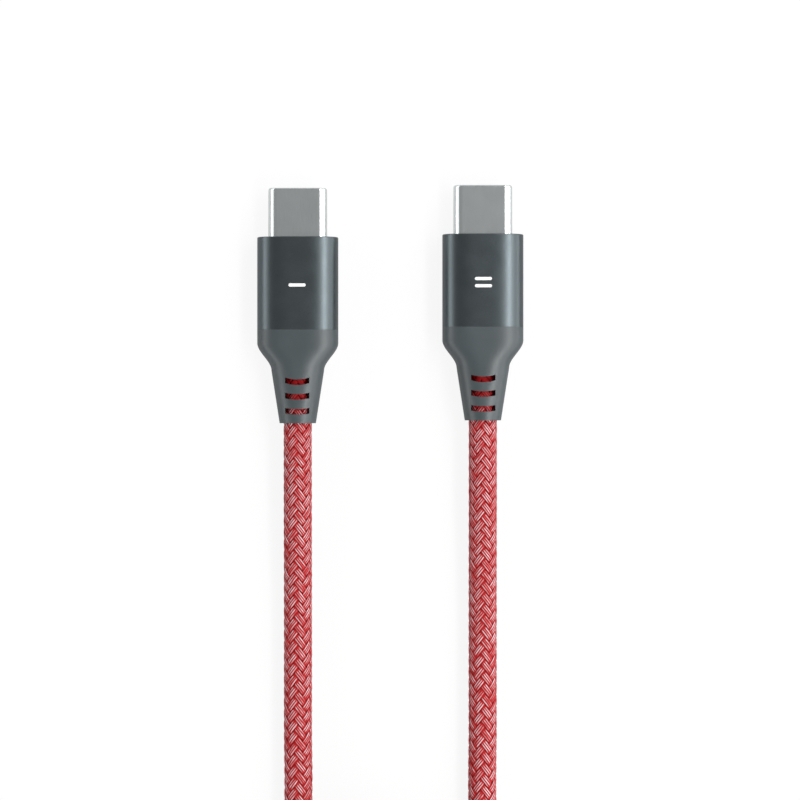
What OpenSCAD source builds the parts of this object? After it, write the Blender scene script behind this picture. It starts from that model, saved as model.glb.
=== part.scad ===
// Braided charging cable with a USB-C plug at each end.
// Both plugs lie flat, side by side, tips towards +Y. The cord leaves each plug towards -Y
// and its spare length lies folded in a hank, held by a strap.
// Origin: on the surface that the plugs lie on, midway between them.

/* [Plug shell] */
// Width of the metal shell
shell_w = 8.25; // [7.8:0.05:10]
// Thickness of the metal shell
shell_t = 2.4; // [2.2:0.05:3]
// Wall of the metal shell
shell_wall = 0.25; // [0.2:0.01:0.3]
// Length of shell that stands out of the housing
shell_out = 6.9; // [6:0.1:9]
// Length of shell held inside the housing
shell_held = 3.3; // [2.6:0.1:4]

/* [Housing] */
// Length of the metal housing
housing_len = 13; // [12:0.1:18]
// How far the housing stands out beyond the shell at each side
housing_side = 1.575; // [1.5:0.025:3]
// How far the housing stands out beyond the shell above and below
housing_over = 1.6; // [1.5:0.05:3]
// Wall of the housing
housing_wall = 0.7; // [0.5:0.05:0.8]
// Thickness of the housing's front wall
housing_front = 1; // [0.6:0.1:1.5]

/* [Boot] */
// Length of the strain-relief boot
boot_len = 13.1; // [11:0.1:18]
// Rubber round the cord at the boot's thin end
boot_lip = 0.5; // [0.4:0.05:1]
// Widening of the boot's taper at each side, from its end to the shoulder
boot_flare = 1.15; // [0.8:0.05:1.4]
// Where the shoulder starts, from the boot's thin end
shoulder_start = 7.4; // [7:0.1:8]
// Length of the shoulder along the plug
shoulder_len = 3.85; // [2.5:0.05:4]
// Depth of the spigot that plugs into the housing
spigot_len = 1.5; // [1:0.1:1.6]
// Number of flex slots on each face
slot_count = 3; // [1:1:3]
// Width of a flex slot, across the boot
slot_w = 3.4; // [2:0.1:3.6]
// Height of a flex slot, along the boot
slot_h = 0.78; // [0.4:0.02:1]
// Middle of the slot nearest the thin end
slot_first = 1.75; // [1.5:0.05:2]
// Distance from one slot to the next
slot_pitch = 2.13; // [1.5:0.01:2.2]

/* [Cord] */
// Diameter of the braided cord
cord_d = 4; // [3.2:0.1:4.8]
// Jacket and braid over the cord's shielded core
cord_cover = 0.85; // [0.6:0.05:0.9]
// Distance between the two plugs' centrelines
plug_spacing = 26; // [20:0.5:40]
// How much further forward plug B lies
plug_stagger = 0.4; // [0:0.1:2]

/* [Inside] */
// Contacts in each row
contact_count = 12; // [4:1:12]
// Distance from one contact to the next
contact_pitch = 0.5; // [0.5:0.01:0.54]
// Width of one contact
contact_w = 0.25; // [0.2:0.01:0.28]
// Height of the slot for the socket's tongue
tongue_slot_t = 0.95; // [0.8:0.05:1]
// Plastic beside the tongue slot, at each side
tongue_side = 0.4; // [0.36:0.01:0.42]
// Thickness of the circuit board
board_t = 0.7; // [0.5:0.05:0.8]
// Sheet thickness of the shield can
can_wall = 0.25; // [0.15:0.01:0.25]
// Diameter of the power and ground wires
power_wire_d = 0.9; // [0.7:0.05:0.95]
// Diameter of the signal wires
signal_wire_d = 0.6; // [0.4:0.05:0.6]

/* [Hank] */
// Radius of the innermost fold
fold_r = 12; // [12:0.5:16]
// Half the distance between the two folds' centres
fold_half = 24; // [20:0.5:26]
// Radius of the bends that draw the waist in
waist_r = 24; // [22:0.5:30]
// Gap between one loop and the next beside it
loop_gap = 0.7; // [0.6:0.05:2]
// Gap between the lower layer of loops and the upper one
layer_gap = 0.5; // [0.5:0.05:2]
// Width of the strap that holds the hank
tie_w = 10; // [6:0.5:12]
// Thickness of the strap
tie_t = 1; // [0.6:0.1:1]

/* [Hidden] */

$fn = 64;
// Clearance between pieces that only lie against each other
fit = 0.05;
// Closer clearances of the small pieces: of soldered ones, and of ones that spring or slide
solder_gap = 0.01;
slip = 0.02;
// Overlap that keeps a cut from ending flush with a face
cut = 0.1;

// Stations along a plug, from the boot's thin end (0) to the tip
front_y = boot_len + housing_len;
tip_y = front_y + shell_out;
shell_y = front_y - shell_held;
cavity_end_y = front_y - housing_front;

housing_w = shell_w + 2 * housing_side;
housing_t = shell_t + 2 * housing_over;
cavity_w = housing_w - 2 * housing_wall;
cavity_t = housing_t - 2 * housing_wall;

// Inside of the metal shell, and the plastic insulator that fills it
bore_w = shell_w - 2 * shell_wall;
bore_t = shell_t - 2 * shell_wall;
core_w = bore_w - fit;
core_t = bore_t - fit;
insulator_setback = 0.4;
insulator_front = tip_y - insulator_setback;
insulator_behind = 0.1;
insulator_back = shell_y - insulator_behind;
tongue_slot_w = core_w - 2 * tongue_side;
tongue_slot_depth = 5.6;
slot_back = insulator_front - tongue_slot_depth;

// One contact, seen from the side: its tail bends up to the root, which springs down to the
// touch point. Heights are above the plug's middle plane
contact_t = 0.15;
contact_setback = 1.7;
contact_tip = insulator_front - contact_setback;
contact_root_z = 0.55;
contact_touch_z = 0.28;
contact_bend_from = insulator_back + 0.15;
contact_bend_to = insulator_back + 0.6;
contact_spring_from = contact_tip - 1.7;
contact_touch = contact_tip - 0.7;
contact_droop = 0.05;
contact_lead_in = 0.03;
groove_w = contact_w + fit;
groove_low = board_t / 2 - slip;
groove_cover = 0.12;
groove_high = core_t / 2 - groove_cover;
groove_end = contact_tip + contact_t;

// Latch plate between the two rows of contacts
latch_t = 0.2;
latch_bar = 0.8;
latch_arm_w = 0.25;
latch_arm_h = 0.5;
latch_arm_x = tongue_slot_w / 2 + slip;
latch_hook = 0.22;
latch_hook_len = 0.6;
latch_inset = 0.3;
latch_setback = 1.6;
latch_back = insulator_back + latch_inset;
latch_tip = insulator_front - latch_setback;
latch_plate_w = contact_count * contact_pitch - 2 * latch_inset;

// Ground springs at the shell's mouth
spring_w = 5.8;
spring_t = 0.1;
spring_len = 1.6;
spring_band = 0.4;
spring_fingers = 4;
spring_pitch = 1.5;
spring_depth = 0.14;
spring_z = core_t / 2 - spring_depth;
spring_back = insulator_front - spring_len;
finger_w = 0.7;
finger_reach = 0.42;
finger_lift = 0.06;
finger_from = spring_back + spring_band - fit;
finger_peak = finger_from + 0.6;
finger_end = insulator_front - fit;

// Circuit board
board_w = tongue_slot_w - 2 * fit;
board_gap = 0.2;
board_front = insulator_back - board_gap;
board_len = 4.3;
board_back = board_front - board_len;
contact_tail = 1.9;
contact_tail_back = board_front - contact_tail;

// Pieces soldered to the board, and their places along and across it
capacitor_size = [1, 0.5, 0.5];
capacitor_x = 2.5;
capacitor_y = board_back + 1.9;
chip_size = [1.2, 1.6, 0.55];
chip_y = board_back + 1.4;

// Wires: places on the core's end and on the board's pads
wire_sides = 8;
wire_bends = [0.25, 0.5, 0.8];
wire_on_pad = 1;
power_from = [0.52, 0.38];
power_pad_x = 1.6;
signal_from = [0.68, -0.38];
signal_pad_x = 1.2;
middle_from = [0, -0.62];

// Shield can round the board, clamped over the back of the shell
can_side_gap = 0.05;
can_over_gap = 0.15;
can_w = shell_w + 2 * (can_side_gap + can_wall);
can_t = shell_t + 2 * (can_over_gap + can_wall);
can_corner = 1.2;
can_front_gap = 0.2;
can_front = cavity_end_y - can_front_gap;
wire_room = 1.8;
can_back = board_back - wire_room;
neck_len = 1.4;
neck_back = can_back - neck_len;

// Crimp ring on the cord's shielded core, held by the can's neck
shield_core_d = cord_d - 2 * cord_cover;
ring_wall = 0.2;
ring_d = shield_core_d + fit + 2 * ring_wall;
ring_front = can_back - 2 * fit;
neck_wall = 0.2;
neck_in = ring_d + fit;
neck_out = neck_in + 2 * neck_wall;
// Ends of the braid inside the boot, and of the shielded core inside the can
tail_inset = 0.5;
tail_end = boot_len - tail_inset;
core_inset = 0.2;
core_end = can_back + core_inset;

// Boot
boot_end_r = cord_d / 2 + boot_lip;
tail_bore = cord_d + 2 * fit;
boot_end_flat = 0.1;
boot_sides = 34;
shoulder_steps = 10;
// Share of the boot's thickening that its taper has before the shoulder
taper_share = 0.85;
// How deep the smile of each slot sags in the middle, from the thin end on
slot_sag = [0.15, 0.2, 0.28];
slot_floor = cord_d / 4;
slot_sides = 128;

// Places of the two plugs' thin ends
plug_x = plug_spacing / 2;
plug_z = housing_t / 2;
plug_a_y = -16.7;
plug_b_y = plug_a_y + plug_stagger;

// Hank: both layers of loops, wound by one formula
cord_r = cord_d / 2;
hank_at = [-1.2, -117];
loop_step = cord_d + loop_gap;
layer_step = cord_d + layer_gap;
hank_sides = 6;
hank_rings = 24;
lead_sides = 10;
waist_turn = asin(fold_half / (fold_r + waist_r));
waist_x = sqrt(pow(fold_r + waist_r, 2) - pow(fold_half, 2));
half_turn = 180 + 4 * waist_turn;
fold_turn = 180 + 2 * waist_turn;
run_share = 2 * waist_turn / half_turn;
// Loops from lead A's side to the reversal, and on to lead B's side
turn_back_u = 1.5 + run_share / 2;
loops = 3.5 + run_share;
// Loops over which the last run slides off the pile
slide_loops = run_share + 0.1;
// Height of the hump over the strap, and its level and sloping lengths
tie_gap = 0.2;
hump = tie_t + tie_gap;
hump_level = 14;
hump_slope = 10;
// How far beyond the strap a strand still counts for its outline, and steps to a strand's ring
tie_margin = 1;
tie_steps = 8;
tie_sides = 32;

// Route of the cord's two free ends, from the plug to the hank. Each point is [y, side, fall]:
// side is the share of the way across to the hank's end, fall the share of the way down
lead_path = [
    [-22, 0, 0], [-28, 0, 0.125], [-35, 0, 0.625], [-43, 0, 1], [-52, 0, 1], [-61, 0, 1],
    [-71, 0, 1], [-74, 0.05, 1], [-77, 0.2, 1], [-80, 0.5, 1], [-83, 0.8, 1], [-86, 1, 1]
];

// ---- Helpers ----

function unit(v) = v / norm(v);

function smooth(t) = let (c = min(max(t, 0), 1)) c * c * (3 - 2 * c);

// Flat outline with half-round ends
module stadium(w, t) {
    square([w - t, t], center = true);
    for (side = [-1, 1]) translate([side * (w - t) / 2, 0]) circle(d = t);
}

// Flat outline with four equal round corners
module rounded_box(w, t, r) {
    square([w - 2 * r, t], center = true);
    square([w, t - 2 * r], center = true);
    for (x = [-1, 1]) for (y = [-1, 1])
        translate([x * (w / 2 - r), y * (t / 2 - r)]) circle(r = r);
}

// Extrudes a flat outline, seen from the tip, from y0 to y1 along the plug
module along(y0, y1) {
    translate([0, y1, 0]) rotate([90, 0, 0]) linear_extrude(height = y1 - y0) children();
}

// Extrudes a side view (along the plug, height) to a strip of width w at x
module strip(x, w) {
    translate([x - w / 2, 0, 0]) rotate([90, 0, 90]) linear_extrude(height = w) children();
}

// Box by its lowest and highest corners
module block(low, high) {
    translate(low) cube(high - low);
}

// Tube of round section swept along points, its end faces square to first and last
function tube_direction(p, i, first, last) =
    i == 0 ? first :
    i == len(p) - 1 ? last :
    unit(unit(p[i + 1] - p[i]) + unit(p[i] - p[i - 1]));

function tube_ring(at, dir, r, sides) =
    let (side = unit(cross([0, 0, 1], dir)), up = cross(dir, side))
    [for (k = [0:sides - 1])
        let (a = -90 + k * 360 / sides) at + r * (cos(a) * side + sin(a) * up)];

module tube(p, r, sides, first, last) {
    rings = len(p);
    points = [for (i = [0:rings - 1])
        each tube_ring(p[i], tube_direction(p, i, first, last), r, sides)];
    walls = [for (i = [0:rings - 2]) for (k = [0:sides - 1])
        let (a = i * sides + k, b = i * sides + (k + 1) % sides)
        each [[a, b + sides, b], [a, a + sides, b + sides]]];
    start = [for (k = [1:sides - 2]) [0, k, k + 1]];
    base = (rings - 1) * sides;
    end = [for (k = [1:sides - 2]) [base, base + k + 1, base + k]];
    polyhedron(points = points, faces = concat(walls, start, end));
}

// Places what follows as plug A or as plug B
module plug_a() {
    translate([-plug_x, plug_a_y, plug_z]) children();
}

module plug_b() {
    translate([plug_x, plug_b_y, plug_z]) children();
}

// Repeats what follows above and below the plug's middle plane
module both_faces() {
    children();
    mirror([0, 0, 1]) children();
}

function contact_x(i) = (i - (contact_count - 1) / 2) * contact_pitch;

// ---- Pieces of one plug ----

// Drawn steel shell that enters the socket
module shell() {
    color("#9a9fa0")
    difference() {
        along(shell_y, tip_y) stadium(shell_w, shell_t);
        along(shell_y - cut, tip_y + cut) stadium(bore_w, bore_t);
    }
}

// Plastic insulator with the tongue slot, contact grooves and pockets
module insulator() {
    color("#1c1d1f")
    difference() {
        along(insulator_back, insulator_front) stadium(core_w, core_t);
        block([-tongue_slot_w / 2, slot_back, -tongue_slot_t / 2],
              [tongue_slot_w / 2, insulator_front + cut, tongue_slot_t / 2]);
        both_faces() for (i = [0:contact_count - 1])
            block([contact_x(i) - groove_w / 2, insulator_back - cut, groove_low],
                  [contact_x(i) + groove_w / 2, groove_end, groove_high]);
        latch_pocket();
        both_faces() spring_pocket();
    }
}

// Room in the insulator for the latch plate
module latch_pocket() {
    bar_w = 2 * (latch_arm_x + latch_arm_w) + fit;
    slit = latch_t / 2 + slip;
    arm = latch_arm_h / 2 + slip;
    block([-bar_w / 2 - cut, insulator_back - cut, -slit],
          [bar_w / 2 + cut, latch_back + latch_bar + fit, slit]);
    block([-latch_plate_w / 2 - fit, insulator_back - cut, -slit],
          [latch_plate_w / 2 + fit, slot_back + cut, slit]);
    for (side = [0, 1]) mirror([side, 0, 0])
        block([latch_arm_x - fit, insulator_back - cut, -arm],
              [core_w / 2 + cut, latch_tip + cut, arm]);
}

// Room in the insulator for one ground spring and its fingers
module spring_pocket() {
    block([-spring_w / 2 - fit, spring_back - fit, spring_z - slip],
          [spring_w / 2 + fit, insulator_front + cut, core_t]);
    for (i = [0:spring_fingers - 1])
        block([finger_x(i) - finger_w / 2 - fit, finger_from - cut, tongue_slot_t / 2 - cut],
              [finger_x(i) + finger_w / 2 + fit, insulator_front + cut, core_t]);
}

function finger_x(i) = (i - (spring_fingers - 1) / 2) * spring_pitch;

// Steel plate between the contact rows, with the two arms that latch in the socket
module latch_plate() {
    color("#a8abad")
    union() {
        block([-latch_arm_x - latch_arm_w, latch_back, -latch_t / 2],
              [latch_arm_x + latch_arm_w, latch_back + latch_bar, latch_t / 2]);
        block([-latch_plate_w / 2, latch_back, -latch_t / 2],
              [latch_plate_w / 2, slot_back - fit, latch_t / 2]);
        for (side = [0, 1]) mirror([side, 0, 0]) {
            block([latch_arm_x, latch_back, -latch_arm_h / 2],
                  [latch_arm_x + latch_arm_w, latch_tip, latch_arm_h / 2]);
            block([latch_arm_x - latch_hook, latch_tip - latch_hook_len, -latch_arm_h / 2],
                  [latch_arm_x + latch_arm_w, latch_tip, latch_arm_h / 2]);
        }
    }
}

// Row of gold-plated spring contacts, their tails on the board
module contact_row() {
    tail_z = board_t / 2 + solder_gap;
    low = [
        [contact_tail_back, tail_z], [contact_bend_from, tail_z],
        [contact_bend_to, contact_root_z], [contact_spring_from, contact_root_z - contact_droop],
        [contact_touch, contact_touch_z], [contact_tip, contact_root_z - contact_lead_in]
    ];
    count = len(low);
    high = [for (i = [0:count - 1]) low[count - 1 - i] + [0, contact_t]];
    color("#c9a34a")
    for (i = [0:contact_count - 1]) strip(contact_x(i), contact_w) polygon(concat(low, high));
}

module upper_contacts() {
    contact_row();
}

module lower_contacts() {
    mirror([0, 0, 1]) contact_row();
}

// Ground springs that touch the socket's shield, one above and one below the tongue
module ground_springs() {
    low = [
        [finger_from, spring_z], [finger_peak, finger_reach], [finger_end, spring_z - finger_lift]
    ];
    high = [for (i = [2:-1:0]) low[i] + [0, spring_t]];
    color("#b4b6b7")
    both_faces() {
        block([-spring_w / 2, spring_back, spring_z],
              [spring_w / 2, spring_back + spring_band, spring_z + spring_t]);
        for (i = [0:spring_fingers - 1]) strip(finger_x(i), finger_w) polygon(concat(low, high));
    }
}

// Circuit board between the contacts' tails and the wires
module board() {
    color("#1f5a3a")
    block([-board_w / 2, board_back, -board_t / 2], [board_w / 2, board_front, board_t / 2]);
}

// Two smoothing capacitors under the board
module capacitors() {
    color("#b08a5a")
    for (side = [-1, 1])
        translate([side * capacitor_x, capacitor_y, -(board_t + capacitor_size[2]) / 2 - slip])
            cube(capacitor_size, center = true);
}

// Chip that tells a charger what the cable can carry
module id_chip() {
    color("#202224")
    translate([0, chip_y, (board_t + chip_size[2]) / 2 + slip]) cube(chip_size, center = true);
}

// Whole shield can with its neck
module can() {
    difference() {
        union() {
            along(can_back, can_front) rounded_box(can_w, can_t, can_corner);
            along(neck_back, can_back + cut) circle(d = neck_out);
        }
        along(can_back + can_wall, can_front + cut)
            rounded_box(can_w - 2 * can_wall, can_t - 2 * can_wall, can_corner - can_wall);
        along(neck_back - cut, can_back + can_wall + cut) circle(d = neck_in);
    }
}

module half_can() {
    intersection() {
        can();
        block([-can_w, neck_back - cut, solder_gap], [can_w, can_front + cut, can_w]);
    }
}

// Upper half of the shield can
module upper_can() {
    color("#a4a8a9") half_can();
}

// Lower half of the shield can
module lower_can() {
    color("#a4a8a9") mirror([0, 0, 1]) half_can();
}

// Crimp ring on the cord's shield
module crimp_ring() {
    color("#b59a5c")
    difference() {
        along(neck_back, ring_front) circle(d = ring_d);
        along(neck_back - cut, can_back) circle(d = shield_core_d + fit);
    }
}

// Shielded core of the cord, from the end of the braid into the can
module cable_core() {
    color("#8f9294")
    along(tail_end + fit, core_end) circle(d = shield_core_d);
}

// One wire from the core to its pad on the board
module wire(d, from, to_x, face) {
    to_z = face * (board_t / 2 + d / 2 + solder_gap);
    bend_y = [for (share = wire_bends) core_end + share * (board_back - core_end)];
    tube([
        [from[0], core_end + solder_gap, from[1]],
        [from[0], bend_y[0], from[1]],
        [(from[0] + to_x) / 2, bend_y[1], (from[1] + to_z) / 2],
        [to_x, bend_y[2], to_z],
        [to_x, board_back + wire_on_pad, to_z]
    ], d / 2, wire_sides, [0, 1, 0], [0, 1, 0]);
}

// Power and ground wires, on the board's upper face
module power_wires() {
    color("#b02a2a") wire(power_wire_d, power_from, power_pad_x, 1);
    color("#26282a") wire(power_wire_d, [-power_from[0], power_from[1]], -power_pad_x, 1);
}

// Two data wires and the configuration wire, on the board's lower face
module signal_wires() {
    color("#2f7d4a") wire(signal_wire_d, signal_from, signal_pad_x, -1);
    color("#d9d9d6") wire(signal_wire_d, middle_from, 0, -1);
    color("#2f5fa8") wire(signal_wire_d, [-signal_from[0], signal_from[1]], -signal_pad_x, -1);
}

// Stiff plastic moulded round the can, which the housing is pressed over
module inner_mould() {
    back = boot_len + spigot_len + fit;
    color("#d8d8d2")
    difference() {
        along(back, cavity_end_y - fit) stadium(cavity_w - 2 * fit, cavity_t - 2 * fit);
        along(can_back - fit, cavity_end_y + cut) rounded_box(can_w + fit, can_t + fit, can_corner);
        along(back - cut, can_back + cut) circle(d = neck_out + fit);
    }
}

// Metal housing: a sleeve with a front wall round the shell
module housing() {
    color("#3f4548")
    difference() {
        along(boot_len, front_y) stadium(housing_w, housing_t);
        along(boot_len - cut, cavity_end_y) stadium(cavity_w, cavity_t);
        along(cavity_end_y - cut, front_y + cut) stadium(shell_w + 2 * fit, shell_t + 2 * fit);
    }
}

// Boot: half width and half thickness at a distance from its thin end
function boot_blend(y) = smooth((y - shoulder_start) / shoulder_len);

function boot_taper(y, flare) = boot_end_r + flare * min(y / shoulder_start, 1);

function boot_half_w(y) =
    let (b = boot_blend(y))
    (1 - b) * (boot_end_flat / 2 + boot_taper(y, boot_flare)) + b * housing_w / 2;

function boot_half_t(y) =
    let (b = boot_blend(y), flare = (housing_t / 2 - boot_end_r) * taper_share)
    (1 - b) * boot_taper(y, flare) + b * housing_t / 2;

// Outline of the boot at one place, with half-round sides
function boot_ring(y) =
    let (t = boot_half_t(y), shift = boot_half_w(y) - t, half = boot_sides / 2)
    [for (k = [0:boot_sides - 1])
        let (side = k < half ? 1 : -1, a = (k % half) * 180 / (half - 1) - 90)
        [side * (shift + t * cos(a)), y, side * t * sin(a)]];

module boot_body() {
    stations = concat(
        [0, shoulder_start],
        [for (i = [1:shoulder_steps]) shoulder_start + shoulder_len * i / shoulder_steps],
        [boot_len]
    );
    rings = len(stations);
    n = boot_sides;
    points = [for (y = stations) each boot_ring(y)];
    walls = [for (i = [0:rings - 2]) for (k = [0:n - 1])
        let (a = i * n + k, b = i * n + (k + 1) % n)
        each [[a, b + n, a + n], [a, b, b + n]]];
    start = [[for (k = [0:n - 1]) n - 1 - k]];
    end = [[for (k = [0:n - 1]) (rings - 1) * n + k]];
    polyhedron(points = points, faces = concat(start, walls, end));
}

// One flex slot: a short arc that sags towards the thin end
module boot_slot(i) {
    sag = slot_sag[i];
    r = (pow(slot_w / 2, 2) + pow(sag, 2)) / (2 * sag);
    middle = slot_first + i * slot_pitch;
    translate([0, 0, slot_floor]) linear_extrude(height = housing_t) intersection() {
        translate([0, middle - sag + r]) difference() {
            circle(r = r + slot_h / 2, $fn = slot_sides);
            circle(r = r - slot_h / 2, $fn = slot_sides);
        }
        translate([0, middle]) square([slot_w, 2 * slot_pitch - slot_h - cut], center = true);
    }
}

// Rubber boot that keeps the cord from kinking at the plug
module boot() {
    color("#545c5f")
    difference() {
        union() {
            boot_body();
            along(boot_len - cut, boot_len + spigot_len)
                stadium(cavity_w - 2 * fit, cavity_t - 2 * fit);
        }
        along(-cut, tail_end + fit) circle(d = tail_bore);
        along(tail_end, boot_len + spigot_len + cut) circle(d = shield_core_d + 2 * fit);
        both_faces() for (i = [0:slot_count - 1]) boot_slot(i);
    }
}

// Braided end of the cord, held inside the boot
module cord_tail() {
    color("#c0262f")
    along(0, tail_end) circle(d = cord_d);
}

// ---- Free cord ----

// Point of the hank's innermost loop, moved outwards by out. u counts loops from lead A's side
function loop_point(u, out) =
    let (
        travel = (180 + waist_turn) / half_turn + 2 * u,
        flip = floor(travel) % 2 == 0 ? 1 : -1,
        turned = (travel - floor(travel)) * half_turn,
        fold_a = turned - waist_turn,
        waist_a = waist_turn - (turned - fold_turn),
        p = turned < fold_turn
            ? [0, fold_half] + (fold_r + out) * [cos(fold_a), sin(fold_a)]
            : [-waist_x, 0] + (waist_r - out) * [cos(waist_a), sin(waist_a)]
    )
    flip * p;

// Height of the cord's centreline: a climb along one run, a slide off the pile on the last one
function hank_height(u, y) =
    let (
        climb = smooth((u - turn_back_u) / run_share + 0.5),
        slide = smooth((u - loops + slide_loops) / slide_loops),
        over = 1 - smooth((abs(y) - hump_level) / hump_slope)
    )
    cord_r + layer_step * (climb - slide) + hump * over;

function hank_point(u) =
    let (p = loop_point(u, loop_step * abs(u - turn_back_u)))
    [hank_at[0] + p[0], hank_at[1] + p[1], hank_height(u, p[1])];

// Both ends run straight for one diameter
hank_start = hank_point(0) + [0, cord_d, 0];
hank_end = hank_point(loops) + [0, cord_d, 0];

// Centreline from a plug at x and y to one end of the hank
function lead_route(x, y, end) = concat(
    [[x, y, plug_z]],
    [for (p = lead_path) [x + (end[0] - x) * p[1], p[0], plug_z + (cord_r - plug_z) * p[2]]],
    [end]
);
lead_a_route = lead_route(-plug_x, plug_a_y, hank_start);
lead_b_route = lead_route(plug_x, plug_b_y, hank_end);

hank_route = concat(
    [hank_start],
    [for (i = [0:floor(loops * hank_rings)]) hank_point(i / hank_rings)],
    [hank_point(loops), hank_end]
);

// Least gap of the hank to itself: ring centres and the middles between them, half a loop apart
gap_points = [for (i = [0:len(hank_route) - 2]) for (t = [0, 0.5])
    (1 - t) * hank_route[i] + t * hank_route[i + 1]];
least_gap = min([for (i = [0:len(gap_points) - 1]) for (j = [i + hank_rings:1:len(gap_points) - 1])
    norm(gap_points[i] - gap_points[j])]) - cord_d;
echo(str("least gap of the hank to itself: ", least_gap, " mm"));

function route_length(p) = len(p) < 2 ? 0 : [for (i = 1, s = norm(p[1] - p[0]); i < len(p);
    i = i + 1, s = s + (i < len(p) ? norm(p[i] - p[i - 1]) : 0)) s][len(p) - 2];
echo(str("cord between the plugs: ", route_length(lead_a_route) + route_length(hank_route)
    + route_length(lead_b_route), " mm"));

module cable_lead_a() {
    color("#c0262f")
    tube(lead_a_route, cord_r, lead_sides, [0, -1, 0], [0, -1, 0]);
}

module cable_lead_b() {
    color("#c0262f")
    tube(lead_b_route, cord_r, lead_sides, [0, -1, 0], [0, -1, 0]);
}

module cable_hank() {
    color("#c0262f")
    tube(hank_route, cord_r, hank_sides, [0, -1, 0], [0, 1, 0]);
}

// Where the strands pass through the strap, seen from the tip
tie_points = [for (i = [0:len(hank_route) - 2]) for (k = [0:tie_steps - 1])
    let (t = k / tie_steps, p = (1 - t) * hank_route[i] + t * hank_route[i + 1])
    if (abs(p[1] - hank_at[1]) <= tie_w / 2 + tie_margin) [p[0], p[2]]];

// Outline drawn tight round those strands
module tie_outline(clear) {
    hull() for (p = tie_points) translate(p) circle(r = cord_r + clear, $fn = tie_sides);
}

// Strap with hooks and loops that holds the hank
module hank_tie() {
    color("#2b2e30")
    along(hank_at[1] - tie_w / 2, hank_at[1] + tie_w / 2) difference() {
        tie_outline(tie_gap + tie_t);
        tie_outline(tie_gap);
    }
}

plug_a() shell();  // shell_a
plug_a() insulator();  // insulator_a
plug_a() latch_plate();  // latch_plate_a
plug_a() upper_contacts();  // upper_contacts_a
plug_a() lower_contacts();  // lower_contacts_a
plug_a() ground_springs();  // ground_springs_a
plug_a() board();  // board_a
plug_a() capacitors();  // capacitors_a
plug_a() id_chip();  // id_chip_a
plug_a() upper_can();  // upper_can_a
plug_a() lower_can();  // lower_can_a
plug_a() crimp_ring();  // crimp_ring_a
plug_a() cable_core();  // cable_core_a
plug_a() power_wires();  // power_wires_a
plug_a() signal_wires();  // signal_wires_a
plug_a() inner_mould();  // inner_mould_a
plug_a() housing();  // housing_a
plug_a() boot();  // boot_a
plug_a() cord_tail();  // cord_tail_a
plug_b() shell();  // shell_b
plug_b() insulator();  // insulator_b
plug_b() latch_plate();  // latch_plate_b
plug_b() upper_contacts();  // upper_contacts_b
plug_b() lower_contacts();  // lower_contacts_b
plug_b() ground_springs();  // ground_springs_b
plug_b() board();  // board_b
plug_b() capacitors();  // capacitors_b
plug_b() upper_can();  // upper_can_b
plug_b() lower_can();  // lower_can_b
plug_b() crimp_ring();  // crimp_ring_b
plug_b() cable_core();  // cable_core_b
plug_b() power_wires();  // power_wires_b
plug_b() signal_wires();  // signal_wires_b
plug_b() inner_mould();  // inner_mould_b
plug_b() housing();  // housing_b
plug_b() boot();  // boot_b
plug_b() cord_tail();  // cord_tail_b
cable_lead_a();
cable_hank();
cable_lead_b();
hank_tie();
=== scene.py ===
"""Looks of a braided charging cable with a USB-C plug at each end.

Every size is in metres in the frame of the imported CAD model: +Z up, +Y along the plugs
towards their tips, +X from plug A to plug B. Names that end in _MM hold millimetres.
"""

from math import asin, ceil, cos, degrees, floor, pi, radians, sin, sqrt, tan

import bmesh
import bpy
import numpy as np
from mathutils import Matrix, Vector


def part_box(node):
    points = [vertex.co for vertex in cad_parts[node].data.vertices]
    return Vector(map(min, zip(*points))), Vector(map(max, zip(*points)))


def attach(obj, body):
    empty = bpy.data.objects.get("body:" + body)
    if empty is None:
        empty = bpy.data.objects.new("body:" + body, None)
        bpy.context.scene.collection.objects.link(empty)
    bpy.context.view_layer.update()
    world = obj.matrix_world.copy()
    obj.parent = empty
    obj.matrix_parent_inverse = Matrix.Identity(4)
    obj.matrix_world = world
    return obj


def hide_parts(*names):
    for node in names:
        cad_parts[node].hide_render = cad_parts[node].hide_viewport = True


bl_info = {
    "name": "Braided charging cable",
    "version": (1, 0, 0),
    "blender": (4, 5, 0),
    "location": "View3D > Sidebar > Cable",
    "description": "Finishes a braided charging cable around its packed CAD model",
    "category": "Add Mesh",
}

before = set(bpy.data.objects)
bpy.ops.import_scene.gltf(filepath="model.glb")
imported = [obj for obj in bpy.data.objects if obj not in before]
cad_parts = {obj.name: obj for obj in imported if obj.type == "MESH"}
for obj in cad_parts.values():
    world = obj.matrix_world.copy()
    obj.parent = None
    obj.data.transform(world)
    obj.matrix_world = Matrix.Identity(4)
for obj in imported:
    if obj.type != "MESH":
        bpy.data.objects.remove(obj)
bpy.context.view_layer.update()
MM = 0.001
WHITE = (1, 1, 1, 1)


def plug_place(plug):
    """Middle of the boot's thin end, where the cord leaves the plug."""
    low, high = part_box("boot_" + plug)
    return Vector(((low.x + high.x) / 2, low.y, (low.z + high.z) / 2))


PLUGS = {plug: plug_place(plug) for plug in "ab"}


# ---- Sizes and colours that a user may change ----


def linear(hex_colour):
    """Linear RGBA of an sRGB colour written as #rrggbb."""
    shares = [int(hex_colour[i : i + 2], 16) / 255 for i in (1, 3, 5)]
    return [c / 12.92 if c <= 0.04045 else ((c + 0.055) / 1.055) ** 2.4 for c in shares] + [1.0]


def length(name, description, default):
    """A property that holds a length in metres."""
    return bpy.props.FloatProperty(
        name=name, description=description, default=default, unit="LENGTH", precision=5
    )


def colour(name, description, default):
    """A property that holds a colour, its default written as #rrggbb."""
    return bpy.props.FloatVectorProperty(
        name=name, description=description, default=linear(default), subtype="COLOR", size=4,
        min=0.0, max=1.0,
    )


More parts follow.
